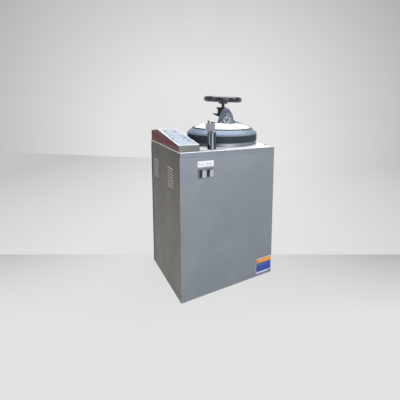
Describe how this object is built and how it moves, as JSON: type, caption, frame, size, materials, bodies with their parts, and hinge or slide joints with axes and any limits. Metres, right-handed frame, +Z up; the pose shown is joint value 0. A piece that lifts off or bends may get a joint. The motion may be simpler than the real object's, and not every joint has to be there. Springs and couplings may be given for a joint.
{
  "type": "vertical autoclave",
  "caption": "Floor-standing top-loading steam autoclave: square stainless cabinet, sloping control console and a domed lid clamped by a handwheel with radial locking bars",
  "frame": {"origin": "centre of the cabinet footprint, on the floor", "axes": "+X to the right as seen by the operator, +Y to the back, +Z up"},
  "size_m": [0.526, 0.5277, 1.017],
  "materials": {
    "brushed_stainless": "brushed stainless sheet",
    "brushed_side": "brushed stainless sheet, slightly cloudy",
    "frame_steel": "painted angle steel",
    "foot_rubber": "matte black rubber",
    "vessel_steel": "satin stainless",
    "glass_wool": "glass wool jacket",
    "heater_sheath": "dark sheathed element",
    "brass_fittings": "turned brass",
    "red_levers": "red painted lever",
    "black_plastic": "moulded black plastic",
    "copper_pipe": "drawn copper tube",
    "power_parts": "moulded electrical parts",
    "membrane_white": "printed membrane overlay",
    "display_glass": "tinted display window",
    "circuit_board": "circuit board",
    "key_cyan": "pale cyan key",
    "breaker_grey": "light grey moulding",
    "label_film": "printed film",
    "zinc_steel": "zinc plated steel",
    "bright_steel": "polished steel",
    "block_grey": "bead-blasted aluminium",
    "black_iron": "black painted casting",
    "silicone_seal": "silicone rubber",
    "dome_polished": "white-bright polished steel",
    "bead_rubber": "black rubber bead",
    "ring_paint": "grey semi-gloss coating",
    "cast_silver": "cast aluminium",
    "wheel_black": "black phenolic"
  },
  "bodies": {
    "cabinet": {"frame": "frame_steel", "base_plate": "frame_steel", "front_panel": "brushed_stainless", "left_panel": "brushed_side", "right_panel": "brushed_stainless", "rear_panel": "brushed_stainless", "top_plate": "brushed_stainless", "levelling_feet": "foot_rubber", "service_pocket": "brushed_stainless", "vessel_shell": "vessel_steel", "vessel_flange": "vessel_steel", "insulation_jacket": "glass_wool", "heating_element": "heater_sheath", "basket_rack": "vessel_steel", "lower_basket": "vessel_steel", "upper_basket": "vessel_steel", "vessel_sensors": "brass_fittings", "safety_valve": "brass_fittings", "drain_valve": "brass_fittings", "exhaust_valve": "black_plastic", "pipework": "copper_pipe", "power_module": "power_parts", "cable_gland": "black_plastic", "console_shell": "brushed_stainless", "console_membrane": "membrane_white", "display_window": "display_glass", "control_board": "circuit_board", "breaker_housing": "breaker_grey", "front_labels": "label_film", "panel_screws": "zinc_steel", "hinge_bracket": "zinc_steel", "hinge_pin": "bright_steel", "interlock_post": "bright_steel", "interlock_block": "block_grey"},
    "lid": {"lid_plate": "vessel_steel", "lid_seal": "silicone_seal", "bar_guides": "zinc_steel", "lid_dome": "dome_polished", "lid_bead": "bead_rubber", "ring_cover": "ring_paint", "lid_bracket": "cast_silver", "nut_yoke": "black_iron", "hinge_arm": "black_iron"},
    "crosshead": {"crosshead": "zinc_steel"},
    "handwheel": {"handwheel": "wheel_black", "screw_shaft": "bright_steel"},
    "locking_bar_front_left": {"locking_bar_front_left": "bright_steel"},
    "locking_bar_front_right": {"locking_bar_front_right": "bright_steel"},
    "locking_bar_rear_right": {"locking_bar_rear_right": "bright_steel"},
    "locking_bar_rear_left": {"locking_bar_rear_left": "bright_steel"},
    "interlock_lever": {"interlock_lever": "black_iron"},
    "interlock_plunger": {"interlock_plunger": "bright_steel"},
    "interlock_button": {"interlock_button": "black_plastic"},
    "breaker_toggle_left": {"breaker_toggle_left": "black_plastic"},
    "breaker_toggle_right": {"breaker_toggle_right": "black_plastic"},
    "key_start": {"key_start": "key_cyan"},
    "key_up": {"key_up": "key_cyan"},
    "key_down": {"key_down": "key_cyan"},
    "drain_valve_lever": {"drain_valve_lever": "red_levers"},
    "safety_valve_lever": {"safety_valve_lever": "red_levers"}
  },
  "joints": [
    {"name": "lid_hinge", "type": "hinge", "parent": "cabinet", "child": "lid", "pos_m": [0.0645, 0.232, 0.79], "axis": [-1, 0, 0], "range_deg": [0, 80]},
    {"name": "crosshead_slide", "type": "slide", "parent": "lid", "child": "crosshead", "axis": [0, 0, -1], "range_m": [0, 0.012]},
    {"name": "handwheel_spin", "type": "hinge", "parent": "crosshead", "child": "handwheel", "pos_m": [0.0645, -0.0115, 0.9], "axis": [0, 0, 1], "range_deg": [-1080, 0]},
    {"name": "locking_bar_front_left_slide", "type": "slide", "parent": "lid", "child": "locking_bar_front_left", "axis": [-0.7071, -0.7071, 0], "range_m": [0, 0.012]},
    {"name": "locking_bar_front_right_slide", "type": "slide", "parent": "lid", "child": "locking_bar_front_right", "axis": [0.7071, -0.7071, 0], "range_m": [0, 0.012]},
    {"name": "locking_bar_rear_right_slide", "type": "slide", "parent": "lid", "child": "locking_bar_rear_right", "axis": [0.7071, 0.7071, 0], "range_m": [0, 0.012]},
    {"name": "locking_bar_rear_left_slide", "type": "slide", "parent": "lid", "child": "locking_bar_rear_left", "axis": [-0.7071, 0.7071, 0], "range_m": [0, 0.012]},
    {"name": "interlock_lever_turn", "type": "hinge", "parent": "cabinet", "child": "interlock_lever", "pos_m": [-0.08424, -0.21031, 0.885], "axis": [0, 0, 1], "range_deg": [0, 90]},
    {"name": "interlock_plunger_slide", "type": "slide", "parent": "cabinet", "child": "interlock_plunger", "axis": [0.6308, 0.7759, 0], "range_m": [0, 0.02]},
    {"name": "interlock_button_press", "type": "slide", "parent": "cabinet", "child": "interlock_button", "axis": [0, 0, -1], "range_m": [0, 0.004], "stiffness_N_per_m": 300, "springref_m": -0.003},
    {"name": "breaker_toggle_left_throw", "type": "hinge", "parent": "cabinet", "child": "breaker_toggle_left", "pos_m": [-0.1616, -0.253, 0.6415], "axis": [-1, 0, 0], "range_deg": [0, 14]},
    {"name": "breaker_toggle_right_throw", "type": "hinge", "parent": "cabinet", "child": "breaker_toggle_right", "pos_m": [-0.1236, -0.253, 0.6415], "axis": [-1, 0, 0], "range_deg": [0, 14]},
    {"name": "key_start_press", "type": "slide", "parent": "cabinet", "child": "key_start", "axis": [0, 0.1164, -0.9932], "range_m": [0, 0.0008], "stiffness_N_per_m": 1000, "springref_m": -0.0005},
    {"name": "key_up_press", "type": "slide", "parent": "cabinet", "child": "key_up", "axis": [0, 0.1164, -0.9932], "range_m": [0, 0.0008], "stiffness_N_per_m": 1000, "springref_m": -0.0005},
    {"name": "key_down_press", "type": "slide", "parent": "cabinet", "child": "key_down", "axis": [0, 0.1164, -0.9932], "range_m": [0, 0.0008], "stiffness_N_per_m": 1000, "springref_m": -0.0005},
    {"name": "drain_valve_turn", "type": "hinge", "parent": "cabinet", "child": "drain_valve_lever", "pos_m": [-0.09, 0.2142, 0.125], "axis": [0, 0, -1], "range_deg": [0, 90]},
    {"name": "safety_valve_lift", "type": "hinge", "parent": "cabinet", "child": "safety_valve_lever", "pos_m": [-0.118, 0.097, 0.712], "axis": [-1, 0, 0], "range_deg": [0, 50]}
  ],
  "couplings": [
    {"joint": "crosshead_slide", "follows": "handwheel_spin", "m_per_rad": -0.00063662},
    {"joint": "locking_bar_front_left_slide", "follows": "handwheel_spin", "m_per_rad": -0.00063662},
    {"joint": "locking_bar_front_right_slide", "follows": "handwheel_spin", "m_per_rad": -0.00063662},
    {"joint": "locking_bar_rear_right_slide", "follows": "handwheel_spin", "m_per_rad": -0.00063662},
    {"joint": "locking_bar_rear_left_slide", "follows": "handwheel_spin", "m_per_rad": -0.00063662},
    {"joint": "interlock_lever_turn", "follows": "interlock_plunger_slide", "rad_per_m": 78.54}
  ]
}
